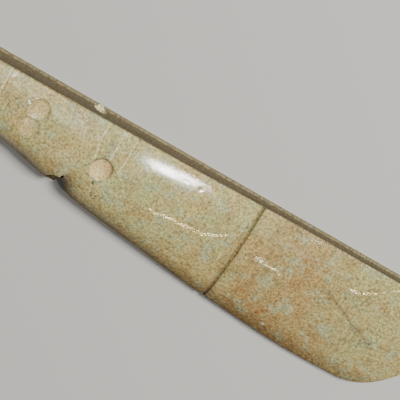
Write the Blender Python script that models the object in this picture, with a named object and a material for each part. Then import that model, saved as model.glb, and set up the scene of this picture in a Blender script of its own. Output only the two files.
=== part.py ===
"""Axe god pendant: half of a long jade celt, with a carved front, a sawn side and a drilled hole.

Run it with blender --background --python part.py. Lengths are in metres and angles in radians.
The pendant lies on its flat back. +X runs from the head to the cutting edge, +Y is the sawn
side, +Z comes out of the carved front, and the origin is under the middle of the outline.

Plan places are given as (along, across): along is measured from the head's end, and across
from the sawn wall towards the rounded edge.
"""

import math

import bmesh
import bpy
from mathutils import Matrix, Vector

MM = 0.001

# The outline: widths from the outer foot of the sawn wall to the rounded edge.
POLL_WIDTH = 17.0 * MM
BROW_WIDTH = 19.4 * MM
CHIN_WIDTH = 24.6 * MM
SHOULDER_WIDTH = 25.6 * MM
NAPE_WIDTH = 27.1 * MM
NECK_WIDTH = 24.8 * MM
UPPER_ARM_WIDTH = 28.4 * MM
ELBOW_WIDTH = 28.9 * MM
BELLY_WIDTH = 32.5 * MM
BELT_WIDTH = 35.2 * MM
BLADE_WIDTH = 37.3 * MM
BIT_WIDTH = 37.0 * MM

# Runs from the head's end to the cutting edge, each starting where the last one ends.
LENGTH = 198.0 * MM
POLL_LENGTH = 0.0455 * LENGTH
BROW_RUN = 0.0354 * LENGTH
FACE_RUN = 0.1818 * LENGTH
SHOULDER_RUN = 0.0182 * LENGTH
NAPE_RUN = 0.0424 * LENGTH
NECK_RUN = 0.0071 * LENGTH
UPPER_ARM_RUN = 0.0283 * LENGTH
ELBOW_RUN = 0.0116 * LENGTH
BELLY_RUN = 0.1348 * LENGTH
WAIST_RUN = 0.1162 * LENGTH
BLADE_RUN = 0.1869 * LENGTH
BULGE_RUN = 0.0631 * LENGTH
BLADE_SETTLE = 0.101 * LENGTH

# Thickness: height of the sawn wall above the back.
POLL_WALL = 8.6 * MM
HEAD_WALL = 10.4 * MM
ARM_WALL = 9.3 * MM
BELLY_WALL = 8.3 * MM
BELT_WALL = 6.8 * MM
BLADE_WALL = 5.9 * MM
SIDE_EDGE_HEIGHT = 2.6 * MM
POLL_EDGE_HEIGHT = 3.4 * MM
BIT_EDGE_HEIGHT = 0.7 * MM
SIDE_UNDERCUT = 2.6 * MM
POLL_UNDERCUT = 2.4 * MM
BIT_UNDERCUT = 0.9 * MM
END_CORNER = 2.6 * MM

# The front swells above the wall to a crest line, which moves towards the wall along the blade.
# The crown is the swell with the crest midway, and a crest's place is a share of the width.
BODY_CROWN = 1.9 * MM
BULGE_CROWN = 1.3 * MM
BIT_CROWN = 0.95 * MM
BODY_CREST = 0.57
BELLY_CREST = 0.53
BELT_CREST = 0.45
BLADE_CREST = 0.48
BULGE_CREST = 0.35
BIT_CREST = 0.21

# How squarely the front runs out before it turns down, and how steeply it then meets the edge.
SIDE_SQUARENESS = 8.0
POLL_SQUARENESS = 4.0
BIT_SQUARENESS = 2.6
SIDE_STEEPNESS = 0.5
POLL_STEEPNESS = 0.5
BIT_STEEPNESS = 0.8

# The sawn wall keeps a narrow snapped ridge along its foot.
RIDGE_WIDTH = 0.7 * MM
RIDGE_HEIGHT = 1.1 * MM
RIDGE_LIP = 0.55
ARRIS = 0.35 * MM

# Towards the narrow ends these shares of the width or the wall's height hold the details in.
UNDERCUT_SHARE = 0.45
ARRIS_SHARE = 0.1
RIDGE_SHARE = 0.4

# Grooves sawn across the front.
BELT_GROOVE_WIDTH = 1.15 * MM
BELT_GROOVE_DEPTH = 0.6 * MM
FINE_GROOVE_WIDTH = 0.95 * MM
FINE_GROOVE_DEPTH = 0.35 * MM
GROOVE_RUNOUT = 2.0 * MM
GROOVE_CLEARANCE = 0.1
HEADBAND_FROM_POLL = 2.0 * MM
MOUTH_FROM_BROW = 18.5 * MM

# The arm: two bands between three grooves, and the drilled hand below them.
ARM_FROM_NECK = 3.0 * MM
UPPER_BAND_WIDTH = 5.7 * MM
LOWER_BAND_WIDTH = 4.4 * MM
ARM_BOW = 1.6 * MM
ARM_BEND_AT = 4.0 * MM
ARM_NEAR_REACH = 13.0 * MM
ARM_MIDDLE_REACH = 10.5 * MM
ARM_FAR_REACH = 12.5 * MM
HAND_ACROSS = 13.6 * MM
HAND_RADIUS = 3.7 * MM
HAND_DEPTH = 1.6 * MM

# Two shallow drill pits that run into each other at the throat.
THROAT_FROM_CHIN = 4.4 * MM
THROAT_ACROSS = 6.9 * MM
THROAT_SPREAD = 6.0 * MM
THROAT_RADIUS = 3.45 * MM
THROAT_DEPTH = 0.9 * MM

# The plain face: two drilled eyes and a nose between two sawn lines.
EYE_FROM_BROW = 5.5 * MM
EYE_SPREAD = 9.6 * MM
EYE_RADIUS = 2.3 * MM
EYE_DEPTH = 0.9 * MM
NOSE_TOP_WIDTH = 2.4 * MM
NOSE_BASE_WIDTH = 5.0 * MM
NOSE_LENGTH = 12.0 * MM

# The suspension hole, drilled across the neck from both sides.
HOLE_WALL_FROM_NECK = -0.1 * MM
HOLE_WALL_RADIUS = 2.1 * MM
HOLE_WALL_HEIGHT = 2.9 * MM
HOLE_EDGE_FROM_NECK = -2.0 * MM
HOLE_EDGE_RADIUS = 2.65 * MM
HOLE_EDGE_HEIGHT = 8.5 * MM
HOLE_WAIST_RADIUS = 1.5 * MM
HOLE_WAIST_SHARE = 0.6

# Fineness of the faceted surface.
STEP_ALONG = 3.0 * MM
FEWEST_STEPS = 3
END_STEPS = 9
FRONT_STEPS = 15
FRONT_CROWDING = 1.6
SLOPE_STEP = 0.5 * MM
ARM_STEPS = 9
NOSE_STEPS = 5
UNDER_STEPS = 4
BACK_STEPS = 3
TUBE_SIDES = 8
PIT_SEGMENTS = 28
PIT_RINGS = 4
OVERSHOOT = 1.5 * MM
SHARP_ANGLE = math.radians(35.0)

STONE_COLOUR = (0.47, 0.41, 0.24, 1.0)
STONE_ROUGHNESS = 0.28

BROW_AT = POLL_LENGTH + BROW_RUN
CHIN_AT = BROW_AT + FACE_RUN
SHOULDER_AT = CHIN_AT + SHOULDER_RUN
NAPE_AT = SHOULDER_AT + NAPE_RUN
NECK_AT = NAPE_AT + NECK_RUN
UPPER_ARM_AT = NECK_AT + UPPER_ARM_RUN
ELBOW_AT = UPPER_ARM_AT + ELBOW_RUN
BELLY_AT = ELBOW_AT + BELLY_RUN
BELT_AT = BELLY_AT + WAIST_RUN
BULGE_AT = BELT_AT + BLADE_RUN
BIT_START = BULGE_AT + BULGE_RUN
BIT_LENGTH = LENGTH - BIT_START
HEADBAND_AT = POLL_LENGTH + HEADBAND_FROM_POLL
EYE_AT = BROW_AT + EYE_FROM_BROW
MOUTH_AT = BROW_AT + MOUTH_FROM_BROW
THROAT_AT = CHIN_AT - THROAT_FROM_CHIN
ARM_NEAR_AT = NECK_AT + ARM_FROM_NECK
ARM_MIDDLE_AT = ARM_NEAR_AT + UPPER_BAND_WIDTH
ARM_FAR_AT = ARM_MIDDLE_AT + LOWER_BAND_WIDTH
WALL_Y = BLADE_WIDTH / 2 - RIDGE_WIDTH
WIDTHS = (
    (0.0, POLL_WIDTH),
    (BROW_AT, BROW_WIDTH),
    (CHIN_AT, CHIN_WIDTH),
    (SHOULDER_AT, SHOULDER_WIDTH),
    (NAPE_AT, NAPE_WIDTH),
    (NECK_AT, NECK_WIDTH),
    (UPPER_ARM_AT, UPPER_ARM_WIDTH),
    (ELBOW_AT, ELBOW_WIDTH),
    (BELLY_AT, BELLY_WIDTH),
    (BELT_AT, BELT_WIDTH),
    (BULGE_AT, BLADE_WIDTH),
    (BIT_START, BIT_WIDTH),
)
WALLS = (
    (0.0, POLL_WALL),
    (BROW_AT, HEAD_WALL),
    (ELBOW_AT, ARM_WALL),
    (BELLY_AT, BELLY_WALL),
    (BELT_AT, BELT_WALL),
    (BELT_AT + BLADE_SETTLE, BLADE_WALL),
    (BIT_START, BLADE_WALL),
)
CROWNS = (
    (BELT_AT + BLADE_SETTLE, BODY_CROWN),
    (BULGE_AT, BULGE_CROWN),
    (BIT_START, BIT_CROWN),
)
CRESTS = (
    (ELBOW_AT, BODY_CREST),
    (BELLY_AT, BELLY_CREST),
    (BELT_AT, BELT_CREST),
    (BELT_AT + BLADE_SETTLE, BLADE_CREST),
    (BULGE_AT, BULGE_CREST),
    (BIT_START, BIT_CREST),
)


def clear_scene():
    """Remove whatever the scene starts with."""
    for obj in list(bpy.data.objects):
        bpy.data.objects.remove(obj, do_unlink=True)


def mix(first, second, share):
    """The value between first and second, at a share from 0 to 1."""
    return first + (second - first) * share


def ease(share):
    """A share from 0 to 1, with a soft start and end."""
    return share * share * (3.0 - 2.0 * share)


def curve_slopes(points):
    """Slopes at each point that keep a cubic through the points free of overshoot."""
    rises = [(b[1] - a[1]) / (b[0] - a[0]) for a, b in zip(points, points[1:])]
    slopes = [rises[0]]
    for before, after in zip(rises, rises[1:]):
        same_way = before * after > 0
        slopes.append(2 * before * after / (before + after) if same_way else 0.0)
    slopes.append(rises[-1])
    return slopes


def curve_through(points, at):
    """The smooth curve through (place, value) points, read at one place."""
    slopes = curve_slopes(points)
    if at <= points[0][0]:
        return points[0][1]
    for i, (low, high) in enumerate(zip(points, points[1:])):
        if at <= high[0]:
            span = high[0] - low[0]
            t = (at - low[0]) / span
            value = mix(low[1], high[1], ease(t))
            pull = slopes[i] * (1 - t) - slopes[i + 1] * t
            return value + span * t * (1 - t) * pull
    return points[-1][1]


def end_share(along):
    """How far a place lies into a rounded end: 0 in the body, nearly 1 at the very end."""
    tip = math.sqrt(1.0 - (END_CORNER / POLL_WIDTH) ** 2)
    if along < POLL_LENGTH:
        return tip * (POLL_LENGTH - along) / POLL_LENGTH
    tip = math.sqrt(1.0 - (END_CORNER / BIT_WIDTH) ** 2)
    if along > BIT_START:
        return tip * (along - BIT_START) / BIT_LENGTH
    return 0.0


def full_width(along):
    """Width from the sawn wall to the rounded edge, before the ends are rounded."""
    return curve_through(WIDTHS, along) - RIDGE_WIDTH


def width_at(along):
    """Width from the sawn wall to the rounded edge."""
    return full_width(along) * math.sqrt(1.0 - end_share(along) ** 2)


def end_values(along):
    """Edge height, undercut, squareness and steepness of the end that a place is nearer to."""
    if along < LENGTH / 2:
        return POLL_EDGE_HEIGHT, POLL_UNDERCUT, POLL_SQUARENESS, POLL_STEEPNESS
    return BIT_EDGE_HEIGHT, BIT_UNDERCUT, BIT_SQUARENESS, BIT_STEEPNESS


def edge_values(along, across):
    """Nearness to the outline, from 0 to 1, then the four edge values there."""
    share = end_share(along)
    side = across / full_width(along)
    near = math.hypot(share, side)
    lean = ease(share / near) if near > 0 else 0.0
    sides = (SIDE_EDGE_HEIGHT, SIDE_UNDERCUT, SIDE_SQUARENESS, SIDE_STEEPNESS)
    values = [mix(a, b, lean) for a, b in zip(sides, end_values(along))]
    return (min(near, 1.0), *values)


def front_height(along, across):
    """Height of the front surface above the back."""
    near, edge, _, squareness, steepness = edge_values(along, across)
    share = across / width_at(along)
    swell = 4 * curve_through(CROWNS, along) * share * (2 * curve_through(CRESTS, along) - share)
    top = curve_through(WALLS, along) + swell
    return edge + max(top - edge, 0.0) * (1.0 - near**squareness) ** steepness


def front_places(width, steps):
    """Distances across the front from the rounded edge to the wall, closer at the edge."""
    return [width * (1 - (k / steps) ** FRONT_CROWDING) for k in range(1, steps)]


def back_outline(along):
    """(across, height) points of a cross section from the wall's foot to its widest point."""
    width = width_at(along)
    _, edge, undercut, _, _ = edge_values(along, width)
    undercut = min(undercut, width * UNDERCUT_SHARE)
    reach = RIDGE_WIDTH + width - undercut
    points = [(reach * k / BACK_STEPS - RIDGE_WIDTH, 0.0) for k in range(BACK_STEPS)]
    for k in range(UNDER_STEPS + 1):
        turn = math.pi / 2 * k / UNDER_STEPS
        across = width - undercut * (1 - math.sin(turn))
        points.append((across, edge * (1 - math.cos(turn))))
    return points


def section(along):
    """The whole cross section as (across, height) points, in order round it."""
    width = width_at(along)
    points = back_outline(along)
    for across in front_places(width, FRONT_STEPS):
        points.append((across, front_height(along, across)))
    arris = min(ARRIS, width * ARRIS_SHARE)
    wall = front_height(along, 0.0)
    ridge = min(RIDGE_HEIGHT, wall * RIDGE_SHARE)
    points.append((arris, front_height(along, arris)))
    points.append((0.0, wall - arris))
    points.append((0.0, ridge))
    points.append((-RIDGE_WIDTH, ridge * RIDGE_LIP))
    return points


def place(along, across, height):
    """A plan place and a height as a point of the finished part."""
    return Vector((along - LENGTH / 2, WALL_Y - across, height))


def stations():
    """Places along the length where the cross section is taken."""
    turns = [math.pi / 2 * k / END_STEPS for k in range(END_STEPS)]
    ends = [POLL_LENGTH * (1 - math.cos(t)) for t in turns]
    ends += [LENGTH - BIT_LENGTH * (1 - math.cos(t)) for t in turns]
    named = [POLL_LENGTH] + [at for at, _ in WIDTHS if at > POLL_LENGTH]
    body = []
    for low, high in zip(named, named[1:]):
        count = max(FEWEST_STEPS, round((high - low) / STEP_ALONG))
        body += [mix(low, high, k / count) for k in range(count)]
    return sorted(ends + body + [BIT_START])


def mesh_object(name, bm):
    """A linked object holding a finished bmesh, with its faces turned outwards."""
    bmesh.ops.recalc_face_normals(bm, faces=bm.faces)
    mesh = bpy.data.meshes.new(name)
    bm.to_mesh(mesh)
    bm.free()
    obj = bpy.data.objects.new(name, mesh)
    bpy.context.collection.objects.link(obj)
    return obj


def skin(name, rings):
    """A closed object through rings of points, capped at both ends."""
    bm = bmesh.new()
    loops = [[bm.verts.new(point) for point in ring] for ring in rings]
    for first, second in zip(loops, loops[1:]):
        for i in range(len(first)):
            j = (i + 1) % len(first)
            bm.faces.new((first[i], first[j], second[j], second[i]))
    bm.faces.new(loops[0])
    bm.faces.new(loops[-1])
    bmesh.ops.triangulate(bm, faces=bm.faces)
    return mesh_object(name, bm)


def as_cutter(obj):
    """Mark an object as a guide that only cuts."""
    obj.hide_render = True
    obj.display_type = "WIRE"
    return obj


def ring_round(centre, direction, radius):
    """Points of a circle round a centre, square to a direction."""
    turn = Vector((0, 0, 1)).rotation_difference(direction.normalized())
    spots = []
    for k in range(TUBE_SIDES):
        angle = 2 * math.pi * k / TUBE_SIDES
        spots.append(centre + turn @ Vector((math.cos(angle), math.sin(angle), 0.0)) * radius)
    return spots


def tube_cutter(name, path, radius):
    """A round bar along a path."""
    rings = []
    for i, point in enumerate(path):
        before = path[max(i - 1, 0)]
        after = path[min(i + 1, len(path) - 1)]
        rings.append(ring_round(point, after - before, radius))
    return as_cutter(skin(name, rings))


def bar_radius(width, depth):
    """Radius of the bar that leaves a groove of this width and depth."""
    return ((width / 2) ** 2 + depth**2) / (2 * depth)


def cross_groove(name, along, width, depth):
    """A groove from beyond the arris over the front and round the edge to the back."""
    radius = bar_radius(width, depth)
    lift = radius - depth
    top = section(along)[BACK_STEPS + UNDER_STEPS // 2 : -3]
    top.append((0.0, front_height(along, 0.0)))
    top.append((-OVERSHOOT, front_height(along, 0.0)))
    path = []
    for i, spot in enumerate(top):
        before = top[max(i - 1, 0)]
        after = top[min(i + 1, len(top) - 1)]
        run = Vector((after[0] - before[0], after[1] - before[1])).normalized()
        out = Vector((run.y, -run.x))
        path.append(place(along, spot[0] + out.x * lift, spot[1] + out.y * lift))
    return tube_cutter(name, path, radius)


def line_groove(name, plan, width, depth, runs_off):
    """A groove along plan places that fades out at its last one, and first too unless it runs off."""
    radius = bar_radius(width, depth)
    path = []
    for i, (along, across) in enumerate(plan):
        at_end = i == len(plan) - 1 or (i == 0 and not runs_off)
        lift = radius + GROOVE_CLEARANCE * depth if at_end else radius - depth
        path.append(place(along, across, front_height(along, max(across, 0.0)) + lift))
    return tube_cutter(name, path, radius)


def arm_groove(name, along, bow, reach):
    """An arm line from the arris to its reach, bowed towards the head by the given amount."""
    plan = [(along + bow, -OVERSHOOT)]
    for k in range(ARM_STEPS + 1):
        across = reach * k / ARM_STEPS
        bend = math.exp(-((across - ARM_BEND_AT) / ARM_BEND_AT) ** 2 / 2)
        plan.append((along + bow * (1 - bend), across))
    return line_groove(name, plan, FINE_GROOVE_WIDTH, FINE_GROOVE_DEPTH, True)


def nose_groove(name, side, middle):
    """One of the two lines that frame the nose, on the side given as 1 or -1."""
    start = MOUTH_AT - NOSE_LENGTH - GROOVE_RUNOUT
    plan = []
    for k in range(NOSE_STEPS + 1):
        share = k / NOSE_STEPS
        half = mix(NOSE_TOP_WIDTH, NOSE_BASE_WIDTH, share) / 2
        plan.append((start + NOSE_LENGTH * share, middle + side * half))
    return line_groove(name, plan, FINE_GROOVE_WIDTH, FINE_GROOVE_DEPTH, False)


def front_normal(along, across):
    """The direction that faces straight out of the front."""
    run = SLOPE_STEP
    rise_along = front_height(along + run, across) - front_height(along - run, across)
    rise_across = front_height(along, across + run) - front_height(along, across - run)
    return Vector((-rise_along, rise_across, 2 * run)).normalized()


def pit_cutter(name, along, across, radius, depth):
    """A round-bottomed plug that leaves a drilled pit of this radius and depth in the front."""
    ball = (radius**2 + depth**2) / (2 * depth)
    rim = math.asin(radius / ball)
    out = front_normal(along, across)
    turn = Vector((0, 0, 1)).rotation_difference(out)
    centre = place(along, across, front_height(along, across))
    profile = []
    for k in range(1, PIT_RINGS + 1):
        angle = rim * k / PIT_RINGS
        profile.append((ball * math.sin(angle), ball - depth - ball * math.cos(angle)))
    profile.append((radius, OVERSHOOT))
    rings = []
    for spread, height in profile:
        angles = [2 * math.pi * k / PIT_SEGMENTS for k in range(PIT_SEGMENTS)]
        spots = [Vector((spread * math.cos(a), spread * math.sin(a), height)) for a in angles]
        rings.append([centre + turn @ spot for spot in spots])
    return as_cutter(skin(name, rings))


def cone_cutter(name, tip, mouth, tip_radius, mouth_radius):
    """A cone from its narrow end to its wide end."""
    run = mouth - tip
    matrix = Matrix.Translation((tip + mouth) / 2)
    matrix @= Vector((0, 0, 1)).rotation_difference(run.normalized()).to_matrix().to_4x4()
    bm = bmesh.new()
    bmesh.ops.create_cone(
        bm,
        cap_ends=True,
        segments=PIT_SEGMENTS,
        radius1=tip_radius,
        radius2=mouth_radius,
        depth=run.length,
        matrix=matrix,
    )
    return as_cutter(mesh_object(name, bm))


def flare(start, aim, start_radius, aim_radius, reach):
    """Place and radius on the line and cone from start through aim, this far beyond aim."""
    run = aim - start
    share = 1 + reach / run.length
    return start + run * share, mix(start_radius, aim_radius, share)


def hole_cutters():
    """The two cones of the suspension hole, narrowest where they meet inside the neck."""
    wall = place(NECK_AT + HOLE_WALL_FROM_NECK, 0.0, HOLE_WALL_HEIGHT)
    edge_at = NECK_AT + HOLE_EDGE_FROM_NECK
    edge = place(edge_at, width_at(edge_at), HOLE_EDGE_HEIGHT)
    waist = wall.lerp(edge, HOLE_WAIST_SHARE)
    cutters = []
    for name, mouth, radius in (
        ("hole_from_wall", wall, HOLE_WALL_RADIUS),
        ("hole_from_edge", edge, HOLE_EDGE_RADIUS),
    ):
        back = waist + (waist - mouth).normalized() * OVERSHOOT
        end, end_radius = flare(waist, mouth, HOLE_WAIST_RADIUS, radius, OVERSHOOT)
        cutters.append(cone_cutter(name, back, end, HOLE_WAIST_RADIUS, end_radius))
    return cutters


def front_cutters():
    """Every groove and pit of the carved front."""
    throat_pits = (
        ("throat_pit_upper", THROAT_ACROSS),
        ("throat_pit_lower", THROAT_ACROSS + THROAT_SPREAD),
    )
    middle = width_at(EYE_AT) / 2
    cutters = [
        cross_groove("belt_groove", BELT_AT, BELT_GROOVE_WIDTH, BELT_GROOVE_DEPTH),
        cross_groove("mouth_groove", MOUTH_AT, FINE_GROOVE_WIDTH, FINE_GROOVE_DEPTH),
        cross_groove("headband_groove", HEADBAND_AT, FINE_GROOVE_WIDTH, FINE_GROOVE_DEPTH),
        arm_groove("arm_groove_near", ARM_NEAR_AT, ARM_BOW, ARM_NEAR_REACH),
        arm_groove("arm_groove_middle", ARM_MIDDLE_AT, 0.0, ARM_MIDDLE_REACH),
        arm_groove("arm_groove_far", ARM_FAR_AT, 0.0, ARM_FAR_REACH),
        nose_groove("nose_groove_upper", -1, middle),
        nose_groove("nose_groove_lower", 1, middle),
        pit_cutter("hand_pit", ELBOW_AT, HAND_ACROSS, HAND_RADIUS, HAND_DEPTH),
    ]
    for name, across in throat_pits:
        cutters.append(pit_cutter(name, THROAT_AT, across, THROAT_RADIUS, THROAT_DEPTH))
    for name, side in (("eye_pit_upper", -1), ("eye_pit_lower", 1)):
        across = middle + side * EYE_SPREAD / 2
        cutters.append(pit_cutter(name, EYE_AT, across, EYE_RADIUS, EYE_DEPTH))
    return cutters


def stone_material():
    """Pale green jade, polished."""
    material = bpy.data.materials.new("polished_jade")
    material.use_nodes = True
    shader = material.node_tree.nodes["Principled BSDF"]
    shader.inputs["Base Color"].default_value = STONE_COLOUR
    shader.inputs["Roughness"].default_value = STONE_ROUGHNESS
    shader.inputs["Metallic"].default_value = 0.0
    return material


def build_pendant():
    """The pendant as one solid stone, cut by its grooves, pits and hole."""
    rings = [[place(along, *spot) for spot in section(along)] for along in stations()]
    pendant = skin("axe_god_pendant", rings)
    pendant.data.materials.append(stone_material())
    for cutter in front_cutters() + hole_cutters():
        cut = pendant.modifiers.new(cutter.name, "BOOLEAN")
        cut.operation = "DIFFERENCE"
        cut.solver = "EXACT"
        cut.object = cutter
    pendant.data.shade_smooth()
    pendant.data.set_sharp_from_angle(angle=SHARP_ANGLE)
    return pendant


clear_scene()
build_pendant()
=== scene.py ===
"""Axe god pendant: the dressed look of a polished half celt of pale green jade.

Lengths are in metres. The pendant lies on its flat back: +X runs from the head to the cutting
edge, +Y is the sawn side and +Z comes out of the carved front. Plan places are (along, across):
along from the head's end, across from the sawn wall towards the rounded edge.
"""

from __future__ import annotations

import logging
import math
from dataclasses import dataclass, field
from enum import Enum
from functools import cached_property
from typing import Any

import bmesh
import bpy
import numpy as np
from mathutils import Matrix, Vector


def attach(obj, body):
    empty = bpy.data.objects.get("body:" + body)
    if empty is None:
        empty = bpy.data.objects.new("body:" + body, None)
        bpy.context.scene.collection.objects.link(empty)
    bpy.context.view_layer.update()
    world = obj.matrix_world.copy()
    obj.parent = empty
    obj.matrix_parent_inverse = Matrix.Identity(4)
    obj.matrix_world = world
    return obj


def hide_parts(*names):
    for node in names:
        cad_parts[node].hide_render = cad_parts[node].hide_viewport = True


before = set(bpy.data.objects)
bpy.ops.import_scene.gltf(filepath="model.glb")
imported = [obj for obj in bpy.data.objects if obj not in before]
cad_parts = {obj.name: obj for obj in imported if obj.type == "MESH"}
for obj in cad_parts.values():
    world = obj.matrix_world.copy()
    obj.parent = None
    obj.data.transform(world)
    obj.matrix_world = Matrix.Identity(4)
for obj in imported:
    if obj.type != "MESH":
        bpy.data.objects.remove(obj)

log = logging.getLogger("pendant")
MM = 0.001
TINY = 1e-12
CAD_NODE = "axe_god_pendant"
Socket = bpy.types.NodeSocket
Pair = tuple[float, float]
Triple = tuple[float, float, float]
Colour = tuple[float, float, float, float]


def srgb(red: float, green: float, blue: float) -> Colour:
    """Turn a display colour into the linear colour that nodes expect.

    Args:
        red: red from 0 to 255.
        green: green from 0 to 255.
        blue: blue from 0 to 255.

    Returns:
        Linear red, green, blue and an alpha of one.
    """
    parts = [(c / 255.0 + 0.055) / 1.055 for c in (red, green, blue)]
    return (parts[0] ** 2.4, parts[1] ** 2.4, parts[2] ** 2.4, 1.0)


def ease(share: np.ndarray) -> np.ndarray:
    """Return shares from 0 to 1 with a soft start and end."""
    held = np.clip(share, 0.0, 1.0)
    return held * held * (3.0 - 2.0 * held)


def rise(values: np.ndarray, start: float, run: float) -> np.ndarray:
    """Return shares that ease from 0 at a start to 1 a run further on, or back if it is negative."""
    return ease((values - start) / run)


def added(name: str, data: bpy.types.ID) -> bpy.types.Object:
    """Add an object with its mesh, light or camera to the scene, and return it."""
    obj = bpy.data.objects.new(name, data)
    bpy.context.scene.collection.objects.link(obj)
    return obj


@dataclass(frozen=True)
class Mottle:
    """A noise pattern, the span of it that counts and what the span's ends give.

    A drawn pattern is stretched along X by one over that number.
    """

    scale: float
    detail: float
    roughness: float
    shift: Triple = (0.0, 0.0, 0.0)
    span: Pair = (0.0, 1.0)
    gives: Pair = (0.0, 1.0)
    drawn: float = 1.0


class Board:
    """Lays out and joins the nodes of one tree."""

    def __init__(self, tree: bpy.types.NodeTree) -> None:
        """Work on one node tree.

        Args:
            tree: the tree that nodes are added to.
        """
        self.tree = tree

    @cached_property
    def place(self) -> Socket:
        """Socket of the place in the object, made when it is first read."""
        return self.node("ShaderNodeTexCoord").outputs["Object"]

    def feed(self, node: bpy.types.Node, inputs: dict[Any, Any]) -> None:
        """Fill a node's inputs.

        Args:
            node: the node.
            inputs: input names or numbers, each with a value or a socket to join.
        """
        for key, value in inputs.items():
            if isinstance(value, Socket):
                self.tree.links.new(value, node.inputs[key])
            else:
                node.inputs[key].default_value = value

    def node(self, kind: str, inputs: dict[Any, Any] | None = None, **options: Any) -> bpy.types.Node:
        """Add one node.

        Args:
            kind: the node's type name.
            inputs: input names or numbers, each with a value or a socket to join.
            options: settings of the node itself.

        Returns:
            The new node.
        """
        made = self.tree.nodes.new(kind)
        for name, value in options.items():
            setattr(made, name, value)
        self.feed(made, inputs or {})
        return made

    def math(self, operation: str, first: Any, second: Any = 0.0) -> Socket:
        """Join two numbers with a Math node and return the result's socket."""
        return self.node("ShaderNodeMath", {0: first, 1: second}, operation=operation).outputs[0]

    def without(self, share: Any) -> Socket:
        """Return the socket of what a share leaves of one."""
        return self.math("SUBTRACT", 1.0, share)

    def spread(self, value: Any, span: Pair, gives: Pair = (0.0, 1.0), soft: bool = True) -> Socket:
        """Turn a span of values into another, held at its ends.

        Args:
            value: the socket that is read.
            span: the values that count.
            gives: what the ends of the span give.
            soft: whether the ends are eased.

        Returns:
            The result's socket.
        """
        ends = {"From Min": span[0], "From Max": span[1], "To Min": gives[0], "To Max": gives[1]}
        way = "SMOOTHSTEP" if soft else "LINEAR"
        made = self.node("ShaderNodeMapRange", {"Value": value, **ends}, interpolation_type=way)
        return made.outputs["Result"]

    def blend(self, share: Any, under: Any, over: Any, mode: str = "MIX") -> Socket:
        """Blend a share of one colour over another, and return the result's socket."""
        colours = {0: share, 6: under, 7: over}
        return self.node("ShaderNodeMix", colours, data_type="RGBA", blend_type=mode).outputs[2]

    def noise(self, mottle: Mottle) -> Socket:
        """Add a noise pattern.

        Args:
            mottle: the pattern.

        Returns:
            Socket of its plain value.
        """
        moves = {"Vector": self.place, "Location": mottle.shift, "Scale": (mottle.drawn, 1.0, 1.0)}
        moved = self.node("ShaderNodeMapping", moves).outputs[0]
        sizes = {"Scale": mottle.scale, "Detail": mottle.detail, "Roughness": mottle.roughness}
        return self.node("ShaderNodeTexNoise", {"Vector": moved, **sizes}).outputs[0]

    def patches(self, mottle: Mottle, soft: bool = True) -> Socket:
        """Add a noise pattern and return the socket of what its span gives."""
        return self.spread(self.noise(mottle), mottle.span, mottle.gives, soft)

    def mask(self, name: str, share: float = 1.0) -> Socket:
        """Read a mask that the stone's mesh carries, or a share of it."""
        read = self.node("ShaderNodeAttribute", attribute_name=name).outputs["Fac"]
        return read if share == 1.0 else self.math("MULTIPLY", read, share)

    def bump(self, height: Any, strength: float, distance: float, **under: Any) -> Socket:
        """Bend the mesh's normal, or the Normal given, by a height, and return its socket."""
        sizes = {"Strength": strength, "Distance": distance, "Height": height}
        return self.node("ShaderNodeBump", {**sizes, **under}).outputs[0]


class Landmark(Enum):
    """Named places along the stone, each with its run from the one before as a share of the length."""

    POLL = 0.0455
    BROW = 0.0354
    CHIN = 0.1818
    SHOULDER = 0.0182
    NAPE = 0.0424
    NECK = 0.0071
    UPPER_ARM = 0.0283
    ELBOW = 0.0116
    BELLY = 0.1348
    BELT = 0.1162
    BULGE = 0.1869
    BIT = 0.0631


@dataclass(frozen=True)
class Curve:
    """A smooth curve through values at places, free of overshoot."""

    places: tuple[float, ...]
    values: tuple[float, ...]

    def at(self, where: np.ndarray) -> np.ndarray:
        """Read the curve.

        Args:
            where: places to read it at.

        Returns:
            The curve's value at each place.
        """
        x, y = np.array(self.places), np.array(self.values)
        rises = np.diff(y) / np.diff(x)
        slopes = np.empty_like(y)
        slopes[0], slopes[-1] = rises[0], rises[-1]
        before, after = rises[:-1], rises[1:]
        total = np.where(before * after > 0, before + after, 1.0)
        slopes[1:-1] = np.where(before * after > 0, 2 * before * after / total, 0.0)
        held = np.clip(where, x[0], x[-1])
        i = np.clip(np.searchsorted(x, held, side="right") - 1, 0, len(x) - 2)
        span = x[i + 1] - x[i]
        t = (held - x[i]) / span
        pull = slopes[i] * (1 - t) - slopes[i + 1] * t
        return y[i] + (y[i + 1] - y[i]) * ease(t) + span * t * (1 - t) * pull


@dataclass(frozen=True)
class RimShape:
    """How the front meets one edge: the edge's height, its undercut, and how it turns down."""

    height: float
    undercut: float
    squareness: float
    steepness: float


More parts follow.
